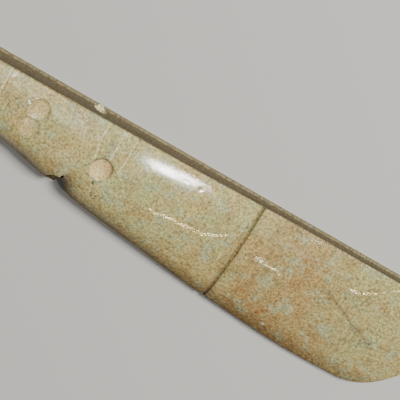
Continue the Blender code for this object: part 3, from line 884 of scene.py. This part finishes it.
@dataclass(frozen=True)
class JadeFinish:
    """Mottled pale green jade: polished in front, sawn and dull on the long side, dull behind."""

    bore: BoreLook
    name: str = "polished_jade"
    cool: Colour = (0.560, 0.540, 0.215, 1.0)
    cream: Colour = (0.620, 0.470, 0.175, 1.0)
    warm: Colour = (0.420, 0.255, 0.090, 1.0)
    orange: Colour = (0.400, 0.180, 0.050, 1.0)
    brown: Colour = (0.178, 0.113, 0.051, 1.0)
    olive: Colour = (0.171, 0.143, 0.051, 1.0)
    blue: Colour = (0.460, 0.510, 0.280, 1.0)
    dark: Colour = (0.059, 0.045, 0.023, 1.0)
    pale: Colour = (0.850, 0.700, 0.340, 1.0)
    # colour of the painted glints, which stand in for highlights
    light: Colour = (0.920, 0.880, 0.720, 1.0)
    drilled: Colour = (0.920, 0.590, 0.235, 1.0)
    pit_pale: Colour = (0.880, 0.740, 0.360, 1.0)
    # dark brown: soil in the belt groove, and painted shade at the pits' rims, the flank and underneath
    soil_and_shade: Colour = (0.110, 0.077, 0.038, 1.0)
    sawn: Colour = (0.088, 0.068, 0.034, 1.0)
    sawn_pale: Colour = (0.210, 0.165, 0.095, 1.0)
    ridge: Colour = (0.235, 0.192, 0.107, 1.0)
    clouds: Mottle = Mottle(70.0, 4.0, 0.6, span=(0.36, 0.66))
    tan: Mottle = Mottle(150.0, 8.0, 0.68, (0.31, 0.2, 0.1), (0.47, 0.63), (0.0, 0.75))
    green: Mottle = Mottle(210.0, 6.0, 0.62, (0.7, 0.5, 0.3), (0.505, 0.64), (0.0, 0.68))
    rust: Mottle = Mottle(420.0, 6.0, 0.7, (0.1, 0.9, 0.6), (0.56, 0.74), (0.0, 0.45))
    ragged: Mottle = Mottle(520.0, 5.0, 0.7, (0.2, 0.4, 0.8), (0.34, 0.6))
    specks: Mottle = Mottle(1500.0, 3.0, 0.6, (0.4, 0.8, 0.2), (0.6, 0.72), (0.0, 0.7))
    fine: Mottle = Mottle(900.0, 4.0, 0.6, (0.9, 0.3, 0.4), (0.64, 0.74), (0.0, 0.8))
    pit_clouds: Mottle = Mottle(700.0, 5.0, 0.65, span=(0.4, 0.6), gives=(0.0, 0.8))
    stripes: Mottle = Mottle(2600.0, 3.0, 0.6, span=(0.35, 0.65), gives=(0.0, 0.6), drawn=0.03)
    # share of the painted light that makes the sawn wall paler towards the back
    wall_painted_light: float = 0.9
    grain: Mottle = Mottle(1350.0, 4.0, 0.6, (0.5, 0.1, 0.9), (0.3, 0.7), (0.42, 1.6))
    hollow_grain: float = 0.3
    pores: Mottle = Mottle(1500.0, 4.0, 0.7, (0.5, 0.1, 0.9))
    pore_bump: Pair = (0.1, 0.1 * MM)
    ribs: Mottle = Mottle(1900.0, 3.0, 0.6, drawn=0.02)
    rib_bump: Pair = (0.5, 0.3 * MM)
    gloss: Gloss = Gloss()
    facet: FacetLine = FacetLine()

    def stone_colour(self, board: Board) -> Socket:
        """Colour the stone itself, without the marks of tools.

        Args:
            board: the material's board.

        Returns:
            Socket of the colour.
        """
        colour = board.blend(board.patches(self.clouds), self.cool, self.cream)
        # real tan, plus painted shade towards the rounded edge
        colour = board.blend(board.mask("warmth_and_shade"), colour, self.warm)
        tanned = board.math("MULTIPLY", board.patches(self.tan), board.mask("tanned"))
        colour = board.blend(tanned, colour, self.warm)
        colour = board.blend(board.patches(self.green), colour, self.blue)
        colour = board.blend(board.patches(self.rust), colour, self.orange)
        broken = board.patches(self.ragged)
        for kind, tint in (
            (Stain.BROWN, self.brown),
            (Stain.ORANGE, self.orange),
            (Stain.BLUE, self.blue),
            (Stain.OLIVE, self.olive),
        ):
            share = board.math("MULTIPLY", board.mask(kind.value), broken)
            colour = board.blend(share, colour, tint)
        colour = board.blend(board.patches(self.specks), colour, self.olive)
        return board.blend(board.patches(self.fine), colour, self.dark)

    def worked_colour(self, board: Board, stone: Socket) -> Socket:
        """Add the marks of drill, saw and handling, the painted shade and the painted glints to the stone's
        colour, each over the last.

        Args:
            board: the material's board.
            stone: socket of the stone's colour.

        Returns:
            Socket of the finished colour.
        """
        inside = board.blend(board.patches(self.pit_clouds), self.drilled, self.pit_pale)
        striped = board.blend(board.patches(self.stripes), self.sawn, self.sawn_pale)
        # painted light: the sawn wall is paler towards the back and darker near the arris
        wall = board.blend(board.mask("wall_painted_light", self.wall_painted_light), striped, self.sawn_pale)
        colour = stone
        for name, share, tint in (
            ("smear", 0.4, self.brown),
            ("hollow", 0.8, inside),
            ("pale", 1.0, self.pale),
            ("belt", 0.52, self.soil_and_shade),
            ("line", 0.95, self.pale),
            # rim: painted shade inside the pits' rims
            ("rim", 0.75, self.soil_and_shade),
            # arris: a thin darker line along the arris
            ("arris", 0.45, self.soil_and_shade),
            ("crack", 0.7, self.brown),
            # flank and beneath: painted shade towards the rounded edge and underneath
            ("flank", 0.55, self.soil_and_shade),
            ("beneath", 0.6, self.soil_and_shade),
            ("dark", 1.0, self.dark),
            # painted glints: near-white marks that stand in for highlights
            ("light", 1.0, self.light),
        ):
            colour = board.blend(board.mask(name, share), colour, tint)
        colour = self.bored_colour(board, colour)
        colour = board.blend(board.mask("sawn"), colour, wall)
        return board.blend(board.mask("snapped"), colour, self.ridge)

    def bored_colour(self, board: Board, colour: Socket) -> Socket:
        """Colour the inside of the hole: pale cream at the wall's end as painted light, the lip's colour at
        the wide end, and dark beyond the wide one's lip as painted shade.

        Args:
            board: the material's board.
            colour: socket of the colour outside the hole.

        Returns:
            Socket of the colour with the hole's.
        """
        bore = self.bore
        depth = board.node("ShaderNodeSeparateXYZ", {"Vector": board.place}).outputs["Y"]
        deep = board.spread(depth, tuple(bore.mouth + run for run in bore.recess))
        near = board.spread(depth, tuple(bore.wall_mouth - run for run in bore.wall_end))
        # painted light: the bore turns pale cream towards the sawn wall
        colour = board.blend(board.mask("bore"), colour, board.blend(near, bore.lip, bore.end))
        # painted shade: dark inside the bore beyond the wide mouth's lip
        unlit = board.math("MULTIPLY", deep, board.without(near))
        return board.blend(board.math("MULTIPLY", unlit, board.mask("bore")), colour, self.dark)

    def grained(self, board: Board, colour: Socket) -> Socket:
        """Lay the stone's fine grain over a colour.

        Args:
            board: the material's board.
            colour: socket of the colour.

        Returns:
            Socket of the grained colour.
        """
        bright = board.patches(self.grain, soft=False)
        share = board.without(board.mask("hollow", self.hollow_grain))
        return board.blend(share, colour, bright, "MULTIPLY")

    def facet_line(self, board: Board) -> tuple[Socket, Socket]:
        """Measure the facet line.

        Args:
            board: the material's board.

        Returns:
            Sockets of the height beside the line and of how clearly the line itself shows.
        """
        facet, hold = self.facet, board.mask("facet_hold")
        wave = board.math("SUBTRACT", board.noise(facet.wave), 0.5)
        off = board.math("ADD", board.mask("facet_off"), board.math("MULTIPLY", wave, facet.waver))
        step = board.spread(off, (-facet.half_width, facet.half_width), soft=False)
        step = board.math("MULTIPLY", step, board.without(board.spread(off, facet.settles)))
        aside = board.spread(board.math("ABSOLUTE", off), facet.bare)
        glow = board.math("MAXIMUM", board.math("SUBTRACT", hold, aside), 0.0)
        return board.math("MULTIPLY", step, hold), glow

    def shine(self, board: Board, glow: Socket) -> dict[str, Any]:
        """Work out the polish.

        Args:
            board: the material's board.
            glow: socket of how clearly the facet line shows.

        Returns:
            What the shader's inputs for gloss are given.
        """
        gloss = self.gloss
        dull = board.mask("flank", gloss.flank_dull)
        for name in ("sawn", "snapped", "dull_back", "bore"):
            dull = board.math("MAXIMUM", dull, board.mask(name))
        rough = board.patches(gloss.polish, soft=False)
        rough = board.math("ADD", rough, board.mask("hollow", gloss.hollow_rough))
        rough = board.math("ADD", rough, board.math("MULTIPLY", dull, gloss.dull_rough))
        rough = board.math("ADD", rough, board.mask("matte", gloss.matte_rough))
        sheen = board.without(board.math("MAXIMUM", board.mask("matte"), dull))
        coat = board.math("MULTIPLY", sheen, gloss.coat)
        level = board.math("ADD", board.math("MULTIPLY", sheen, gloss.level), gloss.dull_level)
        return {
            "Roughness": rough,
            "IOR": gloss.ior,
            "Coat Weight": board.math("MULTIPLY", coat, board.without(glow)),
            "Coat Roughness": gloss.coat_rough,
            "Specular IOR Level": board.math("ADD", level, board.math("MULTIPLY", glow, self.facet.level)),
            "Specular Tint": board.blend(glow, self.facet.plain, self.facet.gold),
        }

    def material(self) -> bpy.types.Material:
        """Make the jade's material.

        Returns:
            The material, with its colour, gloss and fine relief.
        """
        made = bpy.data.materials.new(self.name)
        made.use_nodes = True
        board = Board(made.node_tree)
        colour = self.worked_colour(board, self.stone_colour(board))
        step, glow = self.facet_line(board)
        normal = board.bump(board.noise(self.pores), *self.pore_bump)
        ribs = board.math("MULTIPLY", board.noise(self.ribs), board.mask("sawn"))
        normal = board.bump(ribs, *self.rib_bump, Normal=normal)
        normal = board.bump(step, 1.0, self.facet.height * MM, Normal=normal)
        shader = made.node_tree.nodes["Principled BSDF"]
        board.feed(shader, {"Base Color": self.grained(board, colour)})
        board.feed(shader, self.shine(board, glow))
        board.feed(shader, {"Normal": normal, "Coat Normal": normal})
        log.info("material %s made", self.name)
        return made


@dataclass
class WorkedSurface:
    """A node tree that gives the stone its fine relief: polish ripples, pocks and saw lines.

    The details are those of the three noise patterns, in that order.
    """

    ripple_height: float = 0.035 * MM
    ripple_scale: float = 110.0
    pock_depth: float = 0.05 * MM
    pock_scale: float = 620.0
    pock_span: Pair = (0.6, 0.8)
    saw_depth: float = 0.1 * MM
    saw_scale: float = 900.0
    saw_drawn: Triple = (0.03, 1.0, 1.0)
    seed: float = 7.0
    details: Triple = (1.0, 3.0, 2.0)

    def sizes(self) -> dict[str, float]:
        """Return the value of each of the tree's named inputs."""
        return {
            "Ripple Height": self.ripple_height,
            "Ripple Scale": self.ripple_scale,
            "Pock Depth": self.pock_depth,
            "Pock Scale": self.pock_scale,
            "Saw Depth": self.saw_depth,
            "Saw Scale": self.saw_scale,
            "Seed": self.seed,
        }

    def tree(self) -> bpy.types.NodeTree:
        """Build the tree.

        Returns:
            The node tree, with one named input for each size.
        """
        tree = bpy.data.node_groups.new("worked_surface", "GeometryNodeTree")
        face = tree.interface
        face.new_socket(name="Geometry", in_out="OUTPUT", socket_type="NodeSocketGeometry")
        face.new_socket(name="Geometry", in_out="INPUT", socket_type="NodeSocketGeometry")
        for name in self.sizes():
            face.new_socket(name=name, in_out="INPUT", socket_type="NodeSocketFloat")
        face.new_socket(name="Material", in_out="INPUT", socket_type="NodeSocketMaterial")
        board = Board(tree)
        given = board.node("NodeGroupInput").outputs
        place = board.node("GeometryNodeInputPosition").outputs[0]
        drawn = board.node("ShaderNodeVectorMath", {0: place, 1: self.saw_drawn}, operation="MULTIPLY")
        ripple = self.pattern(board, place, given["Ripple Scale"], given["Seed"], self.details[0])
        pocks = self.pattern(board, place, given["Pock Scale"], given["Seed"], self.details[1])
        saw = self.pattern(board, drawn.outputs[0], given["Saw Scale"], given["Seed"], self.details[2])
        ripple = board.math("MULTIPLY", ripple, self.named(board, "polish"))
        ripple = board.math("MULTIPLY", ripple, given["Ripple Height"])
        pocks = board.math("MULTIPLY", board.spread(pocks, self.pock_span), given["Pock Depth"])
        saw = board.math("MULTIPLY", saw, self.named(board, "sawn"))
        saw = board.math("MULTIPLY", saw, given["Saw Depth"])
        depth = board.math("ADD", board.math("ADD", ripple, pocks), saw)
        inwards = board.math("MULTIPLY", depth, -1.0)
        normal = board.node("GeometryNodeInputNormal").outputs[0]
        push = board.node("ShaderNodeVectorMath", {0: normal, "Scale": inwards}, operation="SCALE")
        shape = {"Geometry": given["Geometry"], "Offset": push.outputs[0]}
        shape = board.node("GeometryNodeSetPosition", shape).outputs[0]
        shape = board.node("GeometryNodeRealizeInstances", {0: shape}).outputs[0]
        look = {"Geometry": shape, "Material": given["Material"]}
        board.node("NodeGroupOutput", {0: board.node("GeometryNodeSetMaterial", look).outputs[0]})
        log.info("tree worked_surface built")
        return tree

    @staticmethod
    def named(board: Board, name: str) -> Socket:
        """Read one of the stone's masks inside the tree."""
        made = board.node("GeometryNodeInputNamedAttribute", {"Name": name}, data_type="FLOAT")
        return made.outputs["Attribute"]

    @staticmethod
    def pattern(board: Board, place: Any, scale: Any, seed: Any, detail: float) -> Socket:
        """Add a seeded noise pattern and return its value's socket."""
        sizes = {"Vector": place, "W": seed, "Scale": scale, "Detail": detail}
        return board.node("ShaderNodeTexNoise", sizes, noise_dimensions="4D").outputs[0]

    def apply(self, stone: bpy.types.Object, material: bpy.types.Material) -> None:
        """Give a stone its fine relief and turn the result into a plain mesh.

        Args:
            stone: the object that is changed.
            material: the material of every face.
        """
        tree = self.tree()
        relief = stone.modifiers.new("worked_surface", "NODES")
        relief.node_group = tree
        given = {**self.sizes(), "Material": material}
        for item in tree.interface.items_tree:
            if item.in_out == "INPUT" and item.name in given:
                relief[item.identifier] = given[item.name]
        settle(stone)


def settle(obj: bpy.types.Object) -> None:
    """Replace an object's mesh by what its modifiers make of it, and remove them.

    Args:
        obj: the object that is changed.
    """
    seen = obj.evaluated_get(bpy.context.evaluated_depsgraph_get())
    made = bpy.data.meshes.new_from_object(seen)
    obj.modifiers.clear()
    obj.data = made


@dataclass(frozen=True)
class DrillCone:
    """One tapering bore, from its narrow end to its mouth."""

    name: str
    tip: Vector
    mouth: Vector
    tip_radius: float
    mouth_radius: float
    sides: int = 72
    nearness: float = 0.03 * MM

    def build(self) -> bpy.types.Object:
        """Make the cone as an object that only cuts.

        Returns:
            The cutter.
        """
        run = self.mouth - self.tip
        matrix = Matrix.Translation((self.tip + self.mouth) / 2)
        matrix @= Vector((0, 0, 1)).rotation_difference(run.normalized()).to_matrix().to_4x4()
        bm = bmesh.new()
        bmesh.ops.create_cone(
            bm,
            cap_ends=True,
            segments=self.sides,
            radius1=self.tip_radius,
            radius2=self.mouth_radius,
            depth=run.length,
            matrix=matrix,
        )
        bmesh.ops.recalc_face_normals(bm, faces=bm.faces)
        mesh = bpy.data.meshes.new(self.name)
        bm.to_mesh(mesh)
        bm.free()
        return added(self.name, mesh)

    def holds(self, places: np.ndarray) -> np.ndarray:
        """Tell which places lie on the cone's surface.

        Args:
            places: points, one to each row.

        Returns:
            One truth value for each point.
        """
        run = np.array(self.mouth - self.tip)
        length = np.linalg.norm(run)
        offset = places - np.array(self.tip)
        travel = offset @ run / length
        away = np.linalg.norm(offset - np.outer(travel, run / length), axis=1)
        radius = self.tip_radius + (self.mouth_radius - self.tip_radius) * travel / length
        return (np.abs(away - radius) < self.nearness) & (travel > 0.0) & (travel < length)


@dataclass
class SuspensionHole:
    """The hole drilled across the neck from both sides, narrowest where the two meet."""

    form: CeltForm
    wall_from_neck: float = -0.1 * MM
    wall_radius: float = 2.1 * MM
    wall_height: float = 2.9 * MM
    edge_from_neck: float = -2.0 * MM
    edge_radius: float = 2.65 * MM
    edge_height: float = 8.5 * MM
    waist_radius: float = 1.5 * MM
    waist_share: float = 0.6
    overshoot: float = 1.5 * MM

    def mouths_y(self) -> Pair:
        """Return where the hole's two mouths lie on Y: the rounded edge's and the wall's."""
        edge_at = self.form.places[Landmark.NECK] + self.edge_from_neck
        reach = float(self.form.width(np.array([edge_at]))[0])
        return (self.form.wall_y - reach, self.form.wall_y)

    def cones(self) -> list[DrillCone]:
        """Plan the two drill cones.

        Returns:
            The cone from the sawn wall and the cone from the rounded edge.
        """
        neck, half = self.form.places[Landmark.NECK], self.form.length / 2
        edge_y, wall_y = self.mouths_y()
        wall = Vector((neck + self.wall_from_neck - half, wall_y, self.wall_height))
        edge = Vector((neck + self.edge_from_neck - half, edge_y, self.edge_height))
        waist = wall.lerp(edge, self.waist_share)
        made = []
        ends = (("drill_from_wall", wall, self.wall_radius), ("drill_from_edge", edge, self.edge_radius))
        for name, mouth, radius in ends:
            tip = waist + (waist - mouth).normalized() * self.overshoot
            run = mouth - waist
            share = 1 + self.overshoot / run.length
            wide = self.waist_radius + (radius - self.waist_radius) * share
            made.append(DrillCone(name, tip, waist + run * share, self.waist_radius, wide))
        return made


@dataclass(frozen=True)
class Warmth:
    """How much tan the stone has: more across it and on the blade, less again at the tip; what is added
    towards the rounded edge is painted shade.
    """

    base: float
    across: float
    blade: float
    blade_tip: float
    rounded: float = 0.0
    rounded_tip: float = 0.0

    def at(self, share: np.ndarray, blade: np.ndarray, rounded: np.ndarray, tip: np.ndarray) -> np.ndarray:
        """Return the warmth at shares across the stone, into its blade, rounded edge and tip."""
        warm = self.base + self.across * share + (self.blade - self.blade_tip * tip) * blade
        return np.clip(warm + (self.rounded - self.rounded_tip * tip) * rounded, 0, 1)


@dataclass(frozen=True)
class Wear:
    """Where tan, painted shade and dull wear lie. Each pair is the start and the run of an ease."""

    # the last two values of the warmth: painted shade towards the rounded edge, less at the tip
    warmth_and_shade: Warmth = Warmth(0.03, 0.16, 0.55, 0.4, 0.4, 0.2)
    tanned: Warmth = Warmth(0.45, 0.3, 0.45, 0.35)
    blade_run: float = 12.0 * MM
    rounded: Pair = (0.72, 0.28)
    tip: Pair = (146.0 * MM, 24.0 * MM)
    snapped: float = 0.9
    worn_mm: Triple = (2.6, 6.4, 2.6)
    worn_blade: Pair = (104.0 * MM, 8.0 * MM)
    worn_bust: Pair = (74.0 * MM, 6.0 * MM)
    worn_fade: float = 0.55
    arm_start: Pair = (62.5 * MM, 2.0 * MM)
    arm_end: Pair = (88.0 * MM, -10.0 * MM)
    arm_edge: Pair = (14.0 * MM, -4.0 * MM)
    arris_width: float = 0.45 * MM
    flank_matte: Pair = (0.9, 0.08)
    # where the painted shade towards the rounded edge starts and how it rises
    flank_shade: Pair = (0.82, 0.15)
    hollow_matte: float = 1.5
    hollow_most: float = 0.85
    worn_matte: float = 0.85
    glint_mm: float = 0.9
    smear_width: float = 1.5 * MM

    def tones(self, form: CeltForm, along: np.ndarray, share: np.ndarray) -> dict[str, np.ndarray]:
        """Measure how warm and how tanned the stone is, with painted shade towards the rounded edge in the
        warmth.

        Args:
            form: the stone's form.
            along: along of every point.
            share: how far across the stone every point lies.

        Returns:
            The two masks.
        """
        blade = rise(along, form.places[Landmark.BELT], self.blade_run)
        parts = (share, blade, rise(share, *self.rounded), rise(along, *self.tip))
        return {"warmth_and_shade": self.warmth_and_shade.at(*parts), "tanned": self.tanned.at(*parts)}

    def worn(self, along: np.ndarray, across: np.ndarray) -> np.ndarray:
        """Measure the wear beside the sawn wall: a strip that widens on the blade, and the arm.

        Args:
            along: along of every point.
            across: across of every point.

        Returns:
            The wear's mask.
        """
        base, blade, bust = self.worn_mm
        reach = base + blade * rise(along, *self.worn_blade)
        reach = (reach + bust * (1.0 - rise(along, *self.worn_bust))) * MM
        strip = ease((reach - across) / (self.worn_fade * reach))
        arm = rise(along, *self.arm_start) * rise(along, *self.arm_end)
        return np.maximum(strip, arm * rise(across, *self.arm_edge))


@dataclass
class Pendant:
    """The carved stone, dressed and ready to show."""

    form: CeltForm
    finish: JadeFinish
    surface: WorkedSurface
    wear: Wear = Wear()
    sharp_angle: float = 58.0
    name: str = "jade_pendant"

    def positions(self, along: np.ndarray, across: np.ndarray, height: np.ndarray) -> np.ndarray:
        """Turn plan places and heights into points of the part."""
        half = self.form.length / 2
        return np.stack([along - half, self.form.wall_y - across, height], axis=-1)

    @staticmethod
    def outwards(points: np.ndarray) -> np.ndarray:
        """Find the outward direction at every point of a grid.

        Args:
            points: grid of points, one ring to each row.

        Returns:
            Unit directions, in the same grid.
        """
        along = np.gradient(points, axis=0)
        round_ring = np.roll(points, -1, axis=1) - np.roll(points, 1, axis=1)
        normal = np.cross(along, round_ring)
        size = np.linalg.norm(normal, axis=2, keepdims=True)
        return normal / np.maximum(size, TINY)

    def masks(
        self, along: np.ndarray, across: np.ndarray, height: np.ndarray, zones: np.ndarray
    ) -> dict[str, np.ndarray]:
        """Work out what covers the stone where.

        Args:
            along: along of every point.
            across: across of every point.
            height: height of every point.
            zones: zone of every ring point.

        Returns:
            One mask for each name that the finish reads, and the carving's depth.
        """
        form, wear = self.form, self.wear
        zone = np.repeat(zones[None, :], along.shape[0], axis=0)
        back, under, front, wall, ridge = (zone == kind.value for kind in Zone)
        _, edge, _, _, _ = form.rim_values(along, across)
        front = front.astype(float)
        front = np.where(under, ease(height / np.maximum(edge, TINY)), front)
        front = np.where(wall & (across > 0.0), 1.0, front)
        found = Carving(form).relief(along, across)
        found.update(Staining().masks(along, across))
        found = {name: values * front for name, values in found.items()}
        share = np.clip(across / form.full_width(along), 0.0, 1.0)
        found.update(wear.tones(form, along, share))
        found["polish"] = front
        found["sawn"] = (wall & (across <= 0.0)).astype(float)
        found["snapped"] = ridge * wear.snapped
        found["dull_back"] = back.astype(float)
        # the underside, which is painted darker as shade and kept matte
        found["beneath"] = under.astype(float)
        # painted light: the sawn wall grows paler downwards, towards the back
        low = 1.0 - ease(height / np.maximum(form.wall_curve.at(along), TINY))
        found["wall_painted_light"] = low * found["sawn"]
        arris = np.exp(-((across / wear.arris_width) ** 2))
        found["arris"] = arris * front
        # flank: painted shade darkening towards the rounded edge and on the underside; it also dulls the
        # gloss
        found["flank"] = np.maximum(rise(share, *wear.flank_shade) * front, found["beneath"])
        sunk = np.minimum(wear.hollow_matte * found["hollow"], wear.hollow_most)
        worn = wear.worn_matte * wear.worn(along, across)
        matte = np.maximum.reduce([worn, arris, rise(share, *wear.flank_matte), sunk]) * front
        glint = found["facet_hold"] * (np.abs(found["facet_off"]) < wear.glint_mm)
        found["matte"] = np.maximum(matte * (1.0 - glint), found["beneath"])
        belt_away = (along - form.places[Landmark.BELT]) / wear.smear_width
        found["smear"] = np.exp(-(belt_away**2)) * front
        return found

    def mesh(self) -> bpy.types.Mesh:
        """Build the carved stone's mesh, with its masks.

        Returns:
            A closed mesh with faces outwards.
        """
        along, across, height, zones = SkinGrid(self.form).layout()
        points = self.positions(along, across, height)
        masks = self.masks(along, across, height, zones)
        points = points - self.outwards(points) * masks.pop("depth")[..., None]
        points[..., 2] = np.maximum(points[..., 2], 0.0)
        rows, ring = along.shape
        i, j = np.meshgrid(np.arange(rows - 1), np.arange(ring), indexing="ij")
        k = (j + 1) % ring
        quads = np.stack([i * ring + j, (i + 1) * ring + j, (i + 1) * ring + k, i * ring + k], axis=-1)
        faces = [tuple(q) for q in quads.reshape(-1, 4).tolist()]
        faces.append(tuple(range(ring))[::-1])
        faces.append(tuple((rows - 1) * ring + n for n in range(ring)))
        mesh = bpy.data.meshes.new(self.name)
        mesh.from_pydata(points.reshape(-1, 3).tolist(), [], faces)
        for name, values in masks.items():
            layer = mesh.attributes.new(name, "FLOAT", "POINT")
            layer.data.foreach_set("value", values.reshape(-1).astype(np.float32))
        bm = bmesh.new()
        bm.from_mesh(mesh)
        bmesh.ops.triangulate(bm, faces=[f for f in bm.faces if len(f.verts) > 4])
        bmesh.ops.recalc_face_normals(bm, faces=bm.faces)
        bm.to_mesh(mesh)
        bm.free()
        return mesh

    def drill(self, stone: bpy.types.Object) -> None:
        """Drill the suspension hole through the stone.

        Args:
            stone: the object that is changed.
        """
        cones = SuspensionHole(self.form).cones()
        wall, edge = (cone.build() for cone in cones)
        for cutter in (wall, edge):
            cutter.data.materials.append(stone.data.materials[0])
        for target, tool, operation in ((wall, edge, "UNION"), (stone, wall, "DIFFERENCE")):
            step = target.modifiers.new(tool.name, "BOOLEAN")
            step.operation = operation
            step.solver = "EXACT"
            step.object = tool
            settle(target)
        for cutter in (wall, edge):
            bpy.data.objects.remove(cutter, do_unlink=True)
        middles = np.array([face.center for face in stone.data.polygons])
        bored = np.logical_or.reduce([cone.holds(middles) for cone in cones])
        layer = stone.data.attributes.new("bore", "FLOAT", "FACE")
        layer.data.foreach_set("value", bored.astype(np.float32))

    def build(self) -> bpy.types.Object:
        """Returns:
            The finished piece.
        """
        material = self.finish.material()
        stone = added(self.name, self.mesh())
        self.surface.apply(stone, material)
        self.drill(stone)
        stone.data.shade_smooth()
        stone.data.set_sharp_from_angle(angle=math.radians(self.sharp_angle))
        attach(stone, "root")
        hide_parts(CAD_NODE)
        log.info("%s has %d faces", self.name, len(stone.data.polygons))
        return stone


@dataclass(frozen=True)
class Softbox:
    """One soft studio light, placed by the direction that it shines from."""

    name: str
    toward: Triple
    aim: Triple
    distance: float
    size: Pair
    power: float

    def build(self) -> bpy.types.Object:
        """Make the light.

        Returns:
            The light's object.
        """
        lamp = bpy.data.lights.new(self.name, "AREA")
        lamp.shape = "RECTANGLE"
        lamp.size, lamp.size_y = self.size
        lamp.energy = self.power
        obj = added(self.name, lamp)
        back = Vector(self.toward).normalized()
        wide = Vector((1.0, 0.0, 0.0))
        wide = (wide - back * wide.dot(back)).normalized()
        faced = Matrix((wide, back.cross(wide), back)).transposed().to_4x4()
        obj.matrix_world = Matrix.Translation(Vector(self.aim) + back * self.distance) @ faced
        log.info("light %s", self.name)
        return obj


@dataclass
class Studio:
    """The floor, the lights and the camera."""

    form: CeltForm
    floor_size: float = 6.0
    floor_drop: float = 0.03 * MM
    floor_colour: Colour = srgb(214, 211, 204)
    floor_level: float = 0.2
    floor_grain: Mottle = Mottle(40.0, 4.0, 0.6, span=(0.2, 0.8), gives=(0.0, 0.2))
    floor_rough: float = 0.7
    sky_strength: float = 0.12
    sky_colour: Colour = (0.95, 0.97, 1.0, 1.0)
    softboxes: tuple[Softbox, ...] = (
        Softbox("key", (0.3, 0.47, 0.83), (0.0, 0.0, 0.0), 1.3, (0.4, 0.4), 18.0),
        Softbox("window", (0.343, 0.112, 0.932), (-0.006, 0.013, 0.009), 0.9, (0.028, 0.038), 1.1),
    )
    camera_distance: float = 1.5
    pixel: float = 0.3 * MM
    pixels: int = 400
    lean_side: float = 16.0
    lean_head: float = 15.0
    slope: float = 0.56929
    anchor_along: float = 123.0 * MM
    anchor_picture: Pair = (303.7, 46.94)
    sensor: float = 36.0
    clip_start: float = 0.01

    def floor(self) -> bpy.types.Object:
        """Make the plain pale floor.

        Returns:
            The floor's object.
        """
        half, drop = self.floor_size / 2, -self.floor_drop
        mesh = bpy.data.meshes.new("floor")
        corners = [(-half, -half, drop), (half, -half, drop), (half, half, drop), (-half, half, drop)]
        mesh.from_pydata(corners, [], [(0, 1, 2, 3)])
        material = bpy.data.materials.new("plain_floor")
        material.use_nodes = True
        board = Board(material.node_tree)
        rough = board.math("ADD", board.patches(self.floor_grain), self.floor_rough)
        looks = {"Base Color": self.floor_colour, "Roughness": rough, "Specular IOR Level": self.floor_level}
        board.feed(material.node_tree.nodes["Principled BSDF"], looks)
        mesh.materials.append(material)
        obj = added("floor", mesh)
        log.info("floor laid")
        return obj

    def lights(self) -> None:
        """Set the soft lights."""
        for softbox in self.softboxes:
            softbox.build()
        world = bpy.data.worlds.new("studio")
        world.use_nodes = True
        sky = {"Color": self.sky_colour, "Strength": self.sky_strength}
        Board(world.node_tree).feed(world.node_tree.nodes["Background"], sky)
        bpy.context.scene.world = world

    def camera(self) -> bpy.types.Object:
        """Set the camera at the photograph's angle, looking down on the lying pendant.

        Returns:
            The camera's object.
        """
        side, head = math.radians(self.lean_side), math.radians(self.lean_head)
        turn = math.atan(self.slope)
        toward = Vector((-math.sin(head), math.cos(head) * math.sin(side), math.cos(head) * math.cos(side)))
        length = Vector((math.cos(head), math.sin(head) * math.sin(side), math.sin(head) * math.cos(side)))
        upward = Vector((0.0, math.cos(side), -math.sin(side)))
        right = math.cos(turn) * length + math.sin(turn) * upward
        up = -math.sin(turn) * length + math.cos(turn) * upward
        foot = self.anchor_along - self.form.length / 2
        anchor = Vector((foot, self.form.wall_y + self.form.ridge_width, 0.0))
        run, lift = self.anchor_picture
        seen_x = run * math.cos(turn)
        seen_y = lift + run * math.sin(turn)
        middle = self.pixels / 2
        target = anchor - right * (seen_x - middle) * self.pixel + up * (seen_y - middle) * self.pixel
        lens = bpy.data.cameras.new("camera")
        lens.sensor_width = self.sensor
        lens.lens = self.sensor * self.camera_distance / (self.pixels * self.pixel)
        lens.clip_start = self.clip_start
        obj = added("camera", lens)
        turned = Matrix((right, up, toward)).transposed().to_4x4()
        obj.matrix_world = Matrix.Translation(target + toward * self.camera_distance) @ turned
        bpy.context.scene.camera = obj
        log.info("camera set")
        return obj


def corners(box: tuple[Vector, Vector]) -> list[list[float]]:
    """Turn a box into plain lists of numbers."""
    return [list(box[0]), list(box[1])]


def main() -> None:
    """Build the pendant and its studio."""
    logging.basicConfig(level=logging.INFO, format="%(name)s: %(message)s")
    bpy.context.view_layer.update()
    form = CeltForm()
    Studio(form).camera()
    finish = JadeFinish(BoreLook(*SuspensionHole(form).mouths_y()))
    Pendant(form, finish, WorkedSurface()).build()
    studio = Studio(form)
    studio.floor()
    studio.lights()
    log.info("sizes written")


if __name__ == "__main__":
    main()
